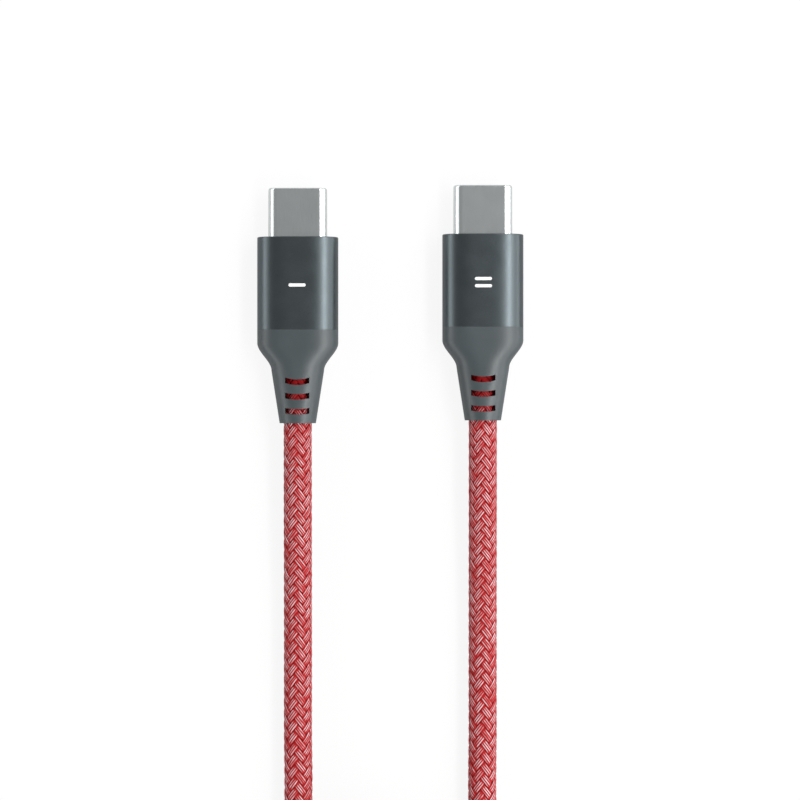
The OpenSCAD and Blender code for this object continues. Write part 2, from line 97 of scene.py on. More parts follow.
class CableSizes(bpy.types.PropertyGroup):
    """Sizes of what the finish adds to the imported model."""

    cord_d: length("Cord diameter", "Diameter over the braid", 4.04 * MM)
    pick: length("Pick", "Distance along the cord from one float to the next", 1.592 * MM)
    yarn_w: length("Yarn width", "Width of one flat bundle of filaments", 0.88 * MM)
    yarn_t: length("Yarn thickness", "Thickness of one bundle at its middle", 0.17 * MM)
    jacket_d: length("Jacket diameter", "Diameter of the jacket under the braid", 3.5 * MM)
    shell_lip: length("Shell lip", "Rounding of the plug shell's mouth", 0.33 * MM)
    housing_edge: length("Housing edge", "Rounding round the housing's front", 0.16 * MM)
    slot_edge: length("Slot edge", "Rounding of the boot's edges", 0.06 * MM)
    strap_t: length("Strap thickness", "Thickness of one layer of the strap", 0.5 * MM)
    mark_w: length("Mark width", "Length of one printed mark", 2.4 * MM)
    mark_t: length("Mark height", "Height of one printed mark", 0.45 * MM)
    carriers: bpy.props.IntProperty(
        name="Carriers each way", description="Bundles that wind each way round the cord",
        default=10, min=4, max=16,
    )
    filaments: bpy.props.IntProperty(
        name="Filaments", description="Filaments that show across one bundle",
        default=3, min=3, max=8,
    )


class CableColours(bpy.types.PropertyGroup):
    """Colours of the finishes."""

    housing: colour("Housing", "Dye of the anodised aluminium", "#61696c")
    boot: colour("Boot", "Colour of the moulded rubber", "#3b4447")
    shell: colour("Shell", "Colour of the drawn steel", "#f4fafa")
    yarn: colour("Yarn", "Dye of the braid's filaments", "#a8040a")
    # crown is a painted highlight: the braid mixes this paler colour into its dye where the
    # filaments glint
    crown: colour("Crown", "Colour of the filaments where they glint", "#d6c8cc")
    jacket: colour("Jacket", "Colour of the jacket under the braid", "#700408")
    strap: colour("Strap", "Colour of the hook-and-loop strap", "#26282a")
    ink: colour("Ink", "Ink of the marks on the housings", "#f4f5f5")
    floor: colour("Floor", "Colour of the floor", "#b0b0b0")


def settings(context):
    """The sizes and the colours as the user has set them."""
    return context.scene.cable_sizes, context.scene.cable_colours


def in_scene(name, data):
    """Puts data into the scene as an object."""
    made = bpy.data.objects.new(name, data)
    bpy.context.scene.collection.objects.link(made)
    return made


# ---- Materials ----


def add(tree, kind, inputs=None, **options):
    """Adds a node with its options. inputs holds values, or outputs to link, by socket."""
    made = tree.nodes.new(kind)
    for name, value in options.items():
        setattr(made, name, value)
    for socket, value in (inputs or {}).items():
        if isinstance(value, bpy.types.NodeSocket):
            tree.links.new(value, made.inputs[socket])
        else:
            made.inputs[socket].default_value = value
    return made


def new_material(name):
    """A material with nothing in its tree."""
    material = bpy.data.materials.new(name)
    material.use_nodes = True
    material.node_tree.nodes.clear()
    return material, material.node_tree


def surface(tree, **inputs):
    """Closes a tree with a Principled surface; _ stands for a space in a socket's name."""
    named = {name.replace("_", " "): value for name, value in inputs.items()}
    shader = add(tree, "ShaderNodeBsdfPrincipled", named)
    add(tree, "ShaderNodeOutputMaterial", {"Surface": shader.outputs[0]})


def place(tree, scale=(1, 1, 1)):
    """Object coordinates in millimetres, stretched by scale."""
    where = add(tree, "ShaderNodeTexCoord").outputs["Object"]
    size = [s / MM for s in scale]
    return add(tree, "ShaderNodeMapping", {"Vector": where, "Scale": size}).outputs[0]


def noise(tree, where, scale, detail=3.0, roughness=0.5):
    """Soft noise with about scale features to a millimetre of where."""
    values = {"Vector": where, "Scale": scale, "Detail": detail, "Roughness": roughness}
    return add(tree, "ShaderNodeTexNoise", values).outputs[0]


def span(tree, value, low, high):
    """Stretches noise, which lies mostly between 0.3 and 0.7, over low to high."""
    values = {"Value": value, "From Min": 0.3, "From Max": 0.7, "To Min": low, "To Max": high}
    return add(tree, "ShaderNodeMapRange", values).outputs[0]


def eased(tree, value, low, high):
    """A value's way from low to high as a share, level at both ends."""
    values = {"Value": value, "From Min": low, "From Max": high}
    kind = "ShaderNodeMapRange"
    return add(tree, kind, values, interpolation_type="SMOOTHSTEP").outputs[0]


def maths(tree, operation, *values):
    """The result of one Math operation."""
    return add(tree, "ShaderNodeMath", dict(enumerate(values)), operation=operation).outputs[0]


def shaded(tree, base, value, dark, light):
    """The base colour times dark to light, as noise goes from low to high."""
    shade = span(tree, value, dark, light)
    values = {"Vector": base[:3], "Scale": shade}
    return add(tree, "ShaderNodeVectorMath", values, operation="SCALE").outputs[0]


def bump(tree, height, distance, strength):
    """A normal for a height of 0 to 1 that stands for distance, in metres."""
    values = {"Height": height, "Distance": distance, "Strength": strength}
    return add(tree, "ShaderNodeBump", values).outputs[0]


def anodised_aluminium(base):
    """Bead-blasted, then dyed in the anodising bath: a fine even grain that blurs highlights."""
    material, tree = new_material("anodised_aluminium_blasted")
    where = place(tree)
    grain = noise(tree, where, scale=9.0, detail=2.0)
    cloud = noise(tree, where, scale=0.45)
    surface(
        tree, Base_Color=shaded(tree, base, grain, 0.93, 1.07), Metallic=1.0,
        Roughness=span(tree, cloud, 0.33, 0.37), Normal=bump(tree, grain, 0.004 * MM, strength=0.5),
    )
    return material


def moulded_rubber(base):
    """Thermoplastic rubber from a spark-eroded mould: matt, with a soft sheen on its bends."""
    material, tree = new_material("thermoplastic_rubber_moulded")
    where = place(tree)
    grain = noise(tree, where, scale=7.0, detail=2.0)
    cloud = noise(tree, where, scale=0.3)
    surface(
        tree, Base_Color=shaded(tree, base, cloud, 0.97, 1.03), IOR=1.6,
        Specular_IOR_Level=0.65, Roughness=span(tree, cloud, 0.4, 0.45),
        Normal=bump(tree, grain, 0.006 * MM, strength=0.5),
    )
    return material


def drawn_steel(base):
    """Stainless shell, deep drawn and tumbled: faint lines along the draw, bright at its bends."""
    material, tree = new_material("stainless_steel_drawn")
    lines = noise(tree, place(tree, (1, 0.06, 1)), scale=9.0)
    cloud = noise(tree, place(tree), scale=0.5, detail=2.0)
    surface(
        tree, Base_Color=shaded(tree, base, lines, 0.97, 1.02), Metallic=1.0,
        Roughness=span(tree, cloud, 0.23, 0.25), Normal=bump(tree, lines, 0.002 * MM, strength=0.15),
    )
    return material


# Cosines round a bundle between which a crown's painted highlight fades to the valley beside it
CROWN_FALL = (-0.8, 0.3)
# Part of a bundle's rise, from under to over, in which the painted highlight on its crowns fades in
GLINT_RISE = (0.55, 0.95)
# Changes of the painted glints to a millimetre of filament, and round a bundle in the noise's own
# units
GLINTS_PER_MM = 0.8
GLINT_SPREAD = 9.0
# Share of its painted glint that the dullest stretch of a filament loses
GLINT_LOSS = 0.9
# Distances from the cord's ends, inside the boots, up to which the painted glint is all gone
# and from which it is all there: painted shade for the braid seen in the boots' slots
BOOT_GLINT_FADE = (7.5 * MM, 13.0 * MM)
# Roughness of the dips and of the glinting crowns
DIP_ROUGHNESS = 0.7
CROWN_ROUGHNESS = 0.22


def braided_polyester(dye, crown, filaments):
    """Flat bundles of smooth filaments, dyed in the melt.

    The crown colour is a painted highlight: it is mixed into the dye on the crowns of the
    filaments where a bundle lies on top. It fades in their valleys, where the bundle dives
    under and inside the boots, so these keep the deep dye as painted shade. A real bundle has
    dozens of filaments, too fine to show: a few coarse ones stand for them.
    """
    material, tree = new_material("polyester_filament_braided")
    strand = add(tree, "ShaderNodeUVMap", uv_map="UVMap").outputs[0]
    along, side = add(tree, "ShaderNodeSeparateXYZ", {0: strand}).outputs[:2]
    turn = maths(tree, "MULTIPLY", side, section_steps(filaments) * pi)
    valley = eased(tree, maths(tree, "COSINE", turn), *CROWN_FALL)
    near = {
        "Vector": place(tree), "W": maths(tree, "MULTIPLY", side, GLINT_SPREAD), "Detail": 0.0,
        "Scale": GLINTS_PER_MM,
    }
    dull = add(tree, "ShaderNodeTexNoise", near, noise_dimensions="4D").outputs[0]
    dull = span(tree, dull, 0.0, 1.0)
    over = add(tree, "ShaderNodeAttribute", attribute_name="over").outputs["Fac"]
    even = maths(tree, "MULTIPLY_ADD", dull, -GLINT_LOSS, 1.0)
    ridge = maths(tree, "SUBTRACT", 1.0, valley)
    glint = maths(tree, "MULTIPLY", ridge, even)
    # The painted glint fades where a bundle dives under, so the dips keep the dye as painted shade
    glint = maths(tree, "MULTIPLY", glint, eased(tree, over, *GLINT_RISE))
    from_middle = maths(tree, "ABSOLUTE", maths(tree, "SUBTRACT", along, 0.5))
    # Inside the boots the painted glint fades out, as painted shade for the braid in the slots
    glint_outside_boots = eased(tree, from_middle, *(0.5 - depth / CORD_LENGTH for depth in BOOT_GLINT_FADE))
    glint = maths(tree, "MULTIPLY", glint, glint_outside_boots)
    # Painted highlight: the crown colour is mixed into the dye as far as the painted glint reaches
    painted_highlight = add(tree, "ShaderNodeMix", {0: glint, 6: dye, 7: crown}, data_type="RGBA").outputs[2]
    values = {"Value": glint, "To Min": DIP_ROUGHNESS, "To Max": CROWN_ROUGHNESS}
    rough = add(tree, "ShaderNodeMapRange", values)
    surface(
        tree, Base_Color=painted_highlight, IOR=1.58, Specular_IOR_Level=0.25, Roughness=rough.outputs[0],
        Normal=bump(tree, glint, 0.01 * MM, strength=0.5),
    )
    return material


def extruded_vinyl(base):
    """Soft vinyl jacket under the braid, with the faint waves of the extruder."""
    material, tree = new_material("vinyl_extruded")
    wave = noise(tree, place(tree), scale=1.2, detail=2.0)
    surface(
        tree, Base_Color=shaded(tree, base, wave, 0.85, 1.15),
        Roughness=span(tree, wave, 0.45, 0.6), Normal=bump(tree, wave, 0.01 * MM, strength=0.4),
    )
    return material


def loop_fabric(base):
    """Knitted nylon with brushed loops: a short matt pile with a soft rim of light."""
    material, tree = new_material("nylon_loop_knitted")
    where = place(tree)
    cells = {"Vector": where, "Scale": 5.5, "Randomness": 0.7}
    loops = add(tree, "ShaderNodeTexVoronoi", cells).outputs[0]
    fuzz = noise(tree, where, scale=9.0, detail=4.0, roughness=0.7)
    surface(
        tree, Base_Color=shaded(tree, base, fuzz, 0.6, 1.5), Roughness=0.9,
        Normal=bump(tree, loops, 0.12 * MM, strength=0.8), Sheen_Weight=0.4, Sheen_Roughness=0.5,
    )
    return material


def pad_printed_ink(base):
    """White pad-printing ink: thin, satin, with a slightly uneven film."""
    material, tree = new_material("ink_pad_printed")
    film = noise(tree, place(tree), scale=4.0)
    surface(
        tree, Base_Color=shaded(tree, base, film, 0.97, 1.02),
        Roughness=span(tree, film, 0.4, 0.55), Normal=bump(tree, film, 0.003 * MM, strength=0.4),
    )
    return material


def plated_metal(name, base, rough):
    """A stamped and plated metal with fine lines from its rolling."""
    material, tree = new_material(name)
    lines = noise(tree, place(tree, (1, 0.1, 1)), scale=8.0, detail=2.0)
    surface(
        tree, Base_Color=shaded(tree, linear(base), lines, 0.93, 1.05), Metallic=1.0,
        Roughness=span(tree, lines, rough - 0.04, rough + 0.05),
        Normal=bump(tree, lines, 0.002 * MM, strength=0.4),
    )
    return material


def moulded_plastic(name, base, rough):
    """An injection-moulded or pressed body with a fine grain from its mould."""
    material, tree = new_material(name)
    grain = noise(tree, place(tree), scale=6.0)
    surface(
        tree, Base_Color=shaded(tree, linear(base), grain, 0.9, 1.1),
        Roughness=span(tree, grain, rough - 0.05, rough + 0.05),
        Normal=bump(tree, grain, 0.004 * MM, strength=0.4),
    )
    return material


# ---- Pieces ----


def dress(mesh, name, material, slot, *nodes):
    """Links a mesh as a piece with its material and hides the CAD nodes that it replaces; slot is
    not used.
    """
    mesh.name = name
    mesh.materials.clear()
    mesh.materials.append(material)
    piece = in_scene(name, mesh)
    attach(piece, "root")
    if nodes:
        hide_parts(*nodes)
    return piece


# Edges that bend more than this are shaded sharp
CRISP_ANGLE = radians(40)


def to_mesh(bm, crisp_angle=CRISP_ANGLE):
    """Turns a bmesh into a mesh, smooth but for edges that bend more than crisp_angle."""
    bmesh.ops.recalc_face_normals(bm, faces=bm.faces)
    mesh = bpy.data.meshes.new("piece")
    bm.to_mesh(mesh)
    bm.free()
    mesh.shade_smooth()
    mesh.set_sharp_from_angle(angle=crisp_angle)
    return mesh


def in_plug(bm, plug):
    """Moves a bmesh made round the plug's own axis, from its thin end, to its place."""
    bmesh.ops.translate(bm, verts=bm.verts, vec=PLUGS[plug])


def parts_of(geometry, kind):
    """The vertices, edges or faces of an operator's result."""
    return [part for part in geometry if isinstance(part, kind)]


# Shares into which the flat faces of a sleeve are cut across, so that their shading stays flat
FLAT_CUTS = (0.02, 0.96, 0.02)
# Steps round each half-round end of a sleeve
ARC_STEPS = 28
# Distance within which vertices are merged, in metres
MERGE = 1e-8


def stadium_sleeve(bm, profile, half_flat):
    """Sweeps a closed profile of (distance from the middle line, y) round a stadium's path."""
    corners = [bm.verts.new((half_flat, y, -off)) for off, y in profile]
    sides = [bm.edges.new((a, b)) for a, b in zip(corners, corners[1:] + corners[:1])]
    for way in (1, -1):
        turned = bmesh.ops.spin(
            bm, geom=sides, cent=(way * half_flat, 0, 0), axis=(0, -1, 0), angle=pi,
            steps=ARC_STEPS, use_merge=False,
        )
        sides = parts_of(turned["geom_last"], bmesh.types.BMEdge)
        for share in FLAT_CUTS:
            drawn = bmesh.ops.extrude_edge_only(bm, edges=sides)["geom"]
            fresh = parts_of(drawn, bmesh.types.BMVert)
            across = (-2 * way * half_flat * share, 0, 0)
            bmesh.ops.translate(bm, verts=fresh, vec=across)
            ends = set(fresh)
            sides = [e for e in parts_of(drawn, bmesh.types.BMEdge) if ends.issuperset(e.verts)]
    bmesh.ops.remove_doubles(bm, verts=bm.verts, dist=MERGE)


# Edges that bend more than this are rims
RIM_ANGLE = radians(50)


def round_rims(bm, radius, segments, wanted):
    """Rounds the rims for whose middle wanted is true."""
    rims = []
    for edge in bm.edges:
        middle = (edge.verts[0].co + edge.verts[1].co) / 2
        if edge.calc_face_angle(0) > RIM_ANGLE and wanted(middle):
            rims.append(edge)
    bmesh.ops.bevel(
        bm, geom=rims, offset=radius, segments=segments, profile=0.5, affect="EDGES",
        material=-1,
    )


def roll_grid(rows, columns, copies, roll):
    """A closed tube, or several, from a flat grid.

    roll takes the share along, the share round and the copy's number of every grid point,
    as arrays, and gives their places, with a fourth number that the mesh keeps as "over" if
    it has one.
    """
    bm = bmesh.new()
    bm.loops.layers.uv.new("UVMap")
    for number in range(copies):
        bmesh.ops.create_grid(
            bm, x_segments=rows, y_segments=columns, size=0.5,
            matrix=Matrix.Translation((0, 0, number)), calc_uvs=True,
        )
    mesh = bpy.data.meshes.new("rolled")
    bm.to_mesh(mesh)
    bm.free()
    flat = np.empty(len(mesh.vertices) * 3, np.float32)
    mesh.vertices.foreach_get("co", flat)
    x, y, z = flat.reshape(-1, 3).T
    along = np.rint((x + 0.5) * rows) / rows
    around = np.rint((y + 0.5) * columns) / columns
    places = roll(along, around, np.rint(z).astype(int))
    mesh.vertices.foreach_set("co", places[:, :3].astype(np.float32).ravel())
    if places.shape[1] > 3:
        over = mesh.attributes.new("over", "FLOAT", "POINT")
        over.data.foreach_set("value", places[:, 3].astype(np.float32))
    bm = bmesh.new()
    bm.from_mesh(mesh)
    bpy.data.meshes.remove(mesh)
    bmesh.ops.remove_doubles(bm, verts=bm.verts, dist=MERGE)
    bmesh.ops.holes_fill(bm, edges=[e for e in bm.edges if e.is_boundary], sides=0)
    return bm


# ---- The cord ----

# Path of the cord's two free ends up to the hank, by the CAD model's formula: y, the share of
# the way sideways to the hank's end and the share of the drop to the floor
LEAD_PATH = [
    (-22, 0, 0), (-28, 0, 0.125), (-35, 0, 0.625), (-43, 0, 1), (-52, 0, 1), (-61, 0, 1),
    (-71, 0, 1), (-74, 0.05, 1), (-77, 0.2, 1), (-80, 0.5, 1), (-83, 0.8, 1), (-86, 1, 1),
]
# Length of the cord's end inside each boot
TAIL_MM = 12.6
# Real length of the cord from inside one boot to inside the other
CORD_LENGTH = 0.96

# The hank by the CAD model's formula: long loops with a drawn-in waist, wound inwards in a
# lower layer and outwards again in an upper one. Angles are in degrees and u counts loops.
# The hank's middle and the cord's radius
HANK_AT_MM = (-1.2, -117.0)
CORD_R_MM = 2.0
# Radius of the innermost fold, the distance of its centre from the hank's middle, and the
# radius of the bends that draw the waist in
FOLD_R_MM = 12.0
FOLD_HALF_MM = 24.0
WAIST_R_MM = 24.0
# Distance from one loop to the next beside it and above it
LOOP_STEP_MM = 4.7
LAYER_STEP_MM = 4.5
# Half the turn of a waist's bend, and the distance of its centre from the hank's middle
WAIST_TURN = degrees(asin(FOLD_HALF_MM / (FOLD_R_MM + WAIST_R_MM)))
WAIST_X_MM = sqrt((FOLD_R_MM + WAIST_R_MM) ** 2 - FOLD_HALF_MM**2)
# Turn of half a loop and of its fold, and the share of the turn that the waist's bend takes
HALF_TURN = 180 + 4 * WAIST_TURN
FOLD_TURN = 180 + 2 * WAIST_TURN
RUN_SHARE = 2 * WAIST_TURN / HALF_TURN
# Loops up to the reversal, all loops, and the loops over which the last run slides off the pile
TURN_BACK_U = 1.5 + RUN_SHARE / 2
LOOPS = 3.5 + RUN_SHARE
SLIDE_LOOPS = RUN_SHARE + 0.1
# How softly the winding turns back, in loops
TURN_BACK_SOFT = 0.03
# Height of the hump over the strap, half its level length and the length of its slopes
HUMP_MM = 1.2
HUMP_LEVEL_MM = 14.0
HUMP_SLOPE_MM = 10.0
POINTS_PER_LOOP = 160
# Points of the hank that a lead's curve runs on into, and points to each of its spans
RUN_ON = 4
SPAN_POINTS = 24
# Distance between the rings of a yarn
RING_STEP = 0.4 * MM
# Every so many points, the jacket has a ring
JACKET_EVERY = 4
# Bevel resolution of such a ring
JACKET_ROUND = 3


def smooth(share):
    """Eases from 0 to 1, level at both ends."""
    kept = np.clip(share, 0, 1)
    return kept * kept * (3 - 2 * kept)


def loop_point(u, out):
    """Point of the hank's innermost loop, moved outwards by out."""
    travel = (180 + WAIST_TURN) / HALF_TURN + 2 * u
    flip = 1 if floor(travel) % 2 == 0 else -1
    turned = (travel - floor(travel)) * HALF_TURN
    if turned < FOLD_TURN:
        a = radians(turned - WAIST_TURN)
        x, y = (FOLD_R_MM + out) * cos(a), FOLD_HALF_MM + (FOLD_R_MM + out) * sin(a)
    else:
        a = radians(WAIST_TURN - (turned - FOLD_TURN))
        x, y = (WAIST_R_MM - out) * cos(a) - WAIST_X_MM, (WAIST_R_MM - out) * sin(a)
    return flip * x, flip * y


def hank_point(u):
    """Point of the hank's centreline after u loops."""
    x, y = loop_point(u, LOOP_STEP_MM * sqrt((u - TURN_BACK_U) ** 2 + TURN_BACK_SOFT**2))
    climb = smooth((u - TURN_BACK_U) / RUN_SHARE + 0.5)
    slide = smooth((u - LOOPS + SLIDE_LOOPS) / SLIDE_LOOPS)
    over = 1 - smooth((abs(y) - HUMP_LEVEL_MM) / HUMP_SLOPE_MM)
    height = CORD_R_MM + LAYER_STEP_MM * (climb - slide) + HUMP_MM * over
    return HANK_AT_MM[0] + x, HANK_AT_MM[1] + y, height


def curve_through(points):
    """A smooth curve through points: cubics with centripetal knots."""
    p = np.array(points, float)
    p = np.concatenate([[2 * p[0] - p[1]], p, [2 * p[-1] - p[-2]]])
    gaps = np.linalg.norm(np.diff(p, axis=0), axis=1)
    knots = np.concatenate([[0], np.cumsum(gaps**0.5)])
    line = []
    for i in range(1, len(p) - 2):
        at = np.linspace(knots[i], knots[i + 1], SPAN_POINTS, endpoint=False)[:, None]
        # Four points with their knots, blended with their neighbours until one is left
        level = [(p[k], knots[k], knots[k]) for k in range(i - 1, i + 3)]
        while len(level) > 1:
            level = [
                (((end - at) * first + (at - start) * second) / (end - start), start, end)
                for (first, start, _), (second, _, end) in zip(level, level[1:])
            ]
        line.append(level[0][0])
    return np.concatenate(line)


def travelled(line):
    """Distance along a line at each of its points."""
    return np.concatenate([[0], np.cumsum(np.linalg.norm(np.diff(line, axis=0), axis=1))])


def cord_line():
    """The cord's centreline from inside boot A to inside boot B, evenly spaced, in metres."""
    count = ceil(LOOPS * POINTS_PER_LOOP)
    hank = [hank_point(LOOPS * i / count) for i in range(count + 1)]
    leads = []
    for plug, ends in (("a", hank), ("b", hank[::-1])):
        x, y, z = PLUGS[plug] / MM
        end_x, end_y, end_z = ends[0]
        route = [(x, y + TAIL_MM, z), (x, y, z)]
        for at, aside, fall in LEAD_PATH:
            route.append((x + (end_x - x) * aside, at, z + (CORD_R_MM - z) * fall))
        route += [(end_x, end_y + 2 * CORD_R_MM, end_z), ends[0], ends[RUN_ON]]
        leads.append(curve_through(route)[:-SPAN_POINTS])
    line = np.concatenate([leads[0], hank, leads[1][::-1]]) * MM
    gone = travelled(line)
    even = np.linspace(0, gone[-1], ceil(gone[-1] / RING_STEP) + 1)
    return np.stack([np.interp(even, gone, line[:, i]) for i in range(3)], axis=1), even


class CordFrame:
    """The cord's centreline with its sideways and upward directions, by distance along it."""

    def __init__(self):
        self.points, self.distance = cord_line()
        ahead = np.gradient(self.points, axis=0)
        ahead /= np.linalg.norm(ahead, axis=1)[:, None]
        side = np.cross([0, 0, 1], ahead)
        side /= np.linalg.norm(side, axis=1)[:, None]
        self.ways = np.concatenate([self.points, side, np.cross(ahead, side)], axis=1)
        self.length = self.distance[-1]

    def around(self, distance, angle, radius):
        """Points at an angle from the top, towards the side, and a radius from the line."""
        ways = [np.interp(distance, self.distance, self.ways[:, i]) for i in range(9)]
        point, side, up = np.array(ways).reshape(3, 3, -1)
        return (point + radius * (np.sin(angle) * side + np.cos(angle) * up)).T


# Middle of a column of floats that lean to the left, as an angle from the top of the cord
COLUMN_AT = radians(-24)
# Turn of the braid about the cord between the two plugs, and the shares of the cord's length
# between which it is taken up, all in the hank
BRAID_TWIST = radians(-29)
TWIST_FROM = 0.2
TWIST_TO = 0.8
# Share of a pick by which the crossings are shifted along the cord
PICK_PHASE = -0.14
# How squarely a yarn steps from under to over
FLOAT_STEP = 2.0
# Depth of the valleys between filaments
VALLEY = 0.02 * MM
# How far a bundle thins towards its edges, as a share of its half thickness, and how late
EDGE_THINNING = 0.75
EDGE_POWER = 2.5
# Share of a bundle's width that its flat underside takes
UNDERSIDE = 0.72
# Room between the highest crowns and the cord's diameter
CROWN_ROOM = 0.01 * MM
# Most bundles in one piece of the braid, so that it stays under 200,000 triangles
YARNS_TOGETHER = 2


def section_steps(filaments):
    """Number of sides round one bundle: two to each filament and three below."""
    return 2 * filaments + 3


def yarn_section(filaments, half_w, half_t):
    """Offsets across and outwards of the points round one flat bundle of filaments."""
    ridges = 2 * filaments
    across = [(2 * i / ridges - 1) * half_w for i in range(ridges + 1)]
    outward = []
    for i, aside in enumerate(across):
        crown = half_t * (1 - EDGE_THINNING * abs(aside / half_w) ** EDGE_POWER)
        outward.append(crown - VALLEY * (i % 2 == 0))
    across += [UNDERSIDE * half_w, -UNDERSIDE * half_w, -half_w]
    outward += [-half_t, -half_t, outward[0]]
    return np.array(across), np.array(outward)


def braid_yarns(cord, sizes, lean, numbers):
    """Some of the bundles that wind one way. lean is 1 or -1."""
    half_t = sizes.yarn_t / 2
    middle = sizes.cord_d / 2 - 2 * half_t - CROWN_ROOM
    across, outward = yarn_section(sizes.filaments, sizes.yarn_w / 2, half_t)
    winding = 2 * pi / (sizes.carriers * sizes.pick)
    slope = np.arctan(middle * winding)
    columns = sizes.carriers / 2
    start = COLUMN_AT - pi / (2 * sizes.carriers) - lean * PICK_PHASE * pi / sizes.carriers

    def roll(along, around, number):
        ring = np.rint(around * (len(across) - 1)).astype(int)
        distance = along * cord.length
        angle = start + 2 * pi / sizes.carriers * np.array(numbers)[number]
        angle = angle + lean * winding * distance
        wave = np.tanh(FLOAT_STEP * np.cos(columns * (angle - COLUMN_AT))) / np.tanh(FLOAT_STEP)
        radius = middle - lean * half_t * wave + outward[ring]
        placed = np.clip(distance - lean * np.sin(slope) * across[ring], 0, cord.length)
        turn = BRAID_TWIST * smooth((along - TWIST_FROM) / (TWIST_TO - TWIST_FROM))
        places = cord.around(placed, angle + turn + np.cos(slope) * across[ring] / middle, radius)
        return np.c_[places, 0.5 - 0.5 * lean * wave]

    return roll_grid(len(cord.distance) - 1, len(across) - 1, len(numbers), roll)


def jacket_tube(cord, diameter, vinyl):
    """The jacket: a curve along the cord's line with a round section."""
    curve = bpy.data.curves.new("cord_jacket", "CURVE")
    curve.dimensions = "3D"
    curve.bevel_depth = diameter / 2
    curve.bevel_resolution = JACKET_ROUND
    curve.use_fill_caps = True
    spline = curve.splines.new("POLY")
    rings = cord.points[::JACKET_EVERY]
    spline.points.add(len(rings) - 1)
    spline.points.foreach_set("co", np.c_[rings, np.ones(len(rings))].ravel())
    curve.materials.append(vinyl)
    return in_scene("cord_jacket", curve)


class CABLE_OT_cord(bpy.types.Operator):
    """Lays the jacket and winds the braid over it, from inside one boot to the other"""

    bl_idname = "cable.cord"
    bl_label = "Cord"

    def execute(self, context):
        sizes, colours = settings(context)
        cord = CordFrame()
        jacket = jacket_tube(cord, sizes.jacket_d, extruded_vinyl(colours.jacket))
        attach(jacket, "root")
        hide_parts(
            "cord_tail_a", "cable_lead_a", "cable_hank", "cable_lead_b", "cord_tail_b"
        )
        polyester = braided_polyester(colours.yarn, colours.crown, sizes.filaments)
        for lean, way in ((1, "right"), (-1, "left")):
            for first in range(0, sizes.carriers, YARNS_TOGETHER):
                numbers = list(range(first, min(first + YARNS_TOGETHER, sizes.carriers)))
                mesh = to_mesh(braid_yarns(cord, sizes, lean, numbers), pi)
                name = f"braid_{way}_{first // YARNS_TOGETHER + 1}"
                dress(mesh, name, polyester, "cord_braid")
        return {"FINISHED"}


# ---- Plugs ----


def station(node, end):
    """Distance from the boot's thin end to a node's low (0) or high (1) end along the plug."""
    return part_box(node)[end].y - PLUGS[node[-1]].y


def half_size(node):
    """Half of a node's width and thickness."""
    low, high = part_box(node)
    return (high.x - low.x) / 2, (high.z - low.z) / 2


def reach(point, half_flat):
    """Distance of a point from the middle line of a stadium's path."""
    beyond = max(abs(point.x) - half_flat, 0)
    return sqrt(beyond**2 + point.z**2)


SHELL_WALL = 0.25 * MM
# The shell's mouth is rolled inwards: how far across and how deep
LIP_REACH = 0.37 * MM
LIP_DEPTH = 0.22 * MM
# Steps of the rounding at the mouth, and how far from the tip an edge still belongs to it
LIP_STEPS = 6
LIP_ZONE = 0.04 * MM


def shell(plug, lip):
    """One plug's shell: an oval sleeve with its mouth rolled inwards and rounded."""
    name = "shell_" + plug
    half_w, half_t = half_size(name)
    half_flat = half_w - half_t
    back, tip = station(name, 0), station(name, 1)
    inner, mouth = half_t - SHELL_WALL, half_t - LIP_REACH
    profile = [
        (half_t, back), (half_t, tip), (mouth, tip), (mouth, tip - LIP_DEPTH),
        (inner, tip - LIP_DEPTH), (inner, back),
    ]
    bm = bmesh.new()
    stadium_sleeve(bm, profile, half_flat)

    def outside_mouth(point):
        """True on the rim that goes round the outside of the mouth."""
        return point.y > tip - LIP_ZONE and reach(point, half_flat) > inner

    round_rims(bm, lip, LIP_STEPS, outside_mouth)
    in_plug(bm, plug)
    return to_mesh(bm)


class CABLE_OT_shells(bpy.types.Operator):
    """Makes the plugs' steel shells with their rounded mouths"""

    bl_idname = "cable.shells"
    bl_label = "Shells"

    def execute(self, context):
        sizes, colours = settings(context)
        steel = drawn_steel(colours.shell)
        for plug in "ab":
            mesh = shell(plug, sizes.shell_lip)
            dress(mesh, "plug_shell_" + plug, steel, "shell_steel", "shell_" + plug)
        return {"FINISHED"}


# How quickly a plug's outline squares up as it gets flatter
SQUARING = 1.93
# Points round an outline
OUTLINE_POINTS = 160
# Half length of a cutter that goes right through
THROUGH = 4 * MM


def domed(turn, half_w, half_t):
    """Point of a plug's outline at a share of the way round: oval, with its faces slightly domed."""
    power = 2 + SQUARING * (half_w / half_t - 1)
    x = np.cos(2 * pi * turn)
    return half_w * np.sign(x) * np.abs(x) ** (2 / power), half_t * np.sin(2 * pi * turn)


def round_ended(turn, half_w, half_t):
    """Point of a flat outline with half-round ends at a share of the way round."""
    side = np.where(turn < 0.5, 1, -1)
    # The points of each end run from -90 to 90 degrees, and the flats lie between the ends
    angle = 2 * pi * (turn % 0.5) * (1 + 1 / (OUTLINE_POINTS / 2 - 1)) - pi / 2
    return side * (half_w - half_t + half_t * np.cos(angle)), side * half_t * np.sin(angle)


def lofted(rings, outline):
    """A closed solid through outlines, each given as (y, half width, half thickness)."""
    rings = np.array(rings)

    def roll(along, around, _number):
        y, half_w, half_t = rings[np.rint(along * (len(rings) - 1)).astype(int)].T
        turn = np.rint(around * OUTLINE_POINTS) % OUTLINE_POINTS / OUTLINE_POINTS
        x, z = outline(turn, half_w, half_t)
        return np.stack([x, y, z], axis=1)

    return roll_grid(len(rings) - 1, OUTLINE_POINTS, 1, roll)


# Steps of the rounding of a carved piece's edges
CARVED_STEPS = 3


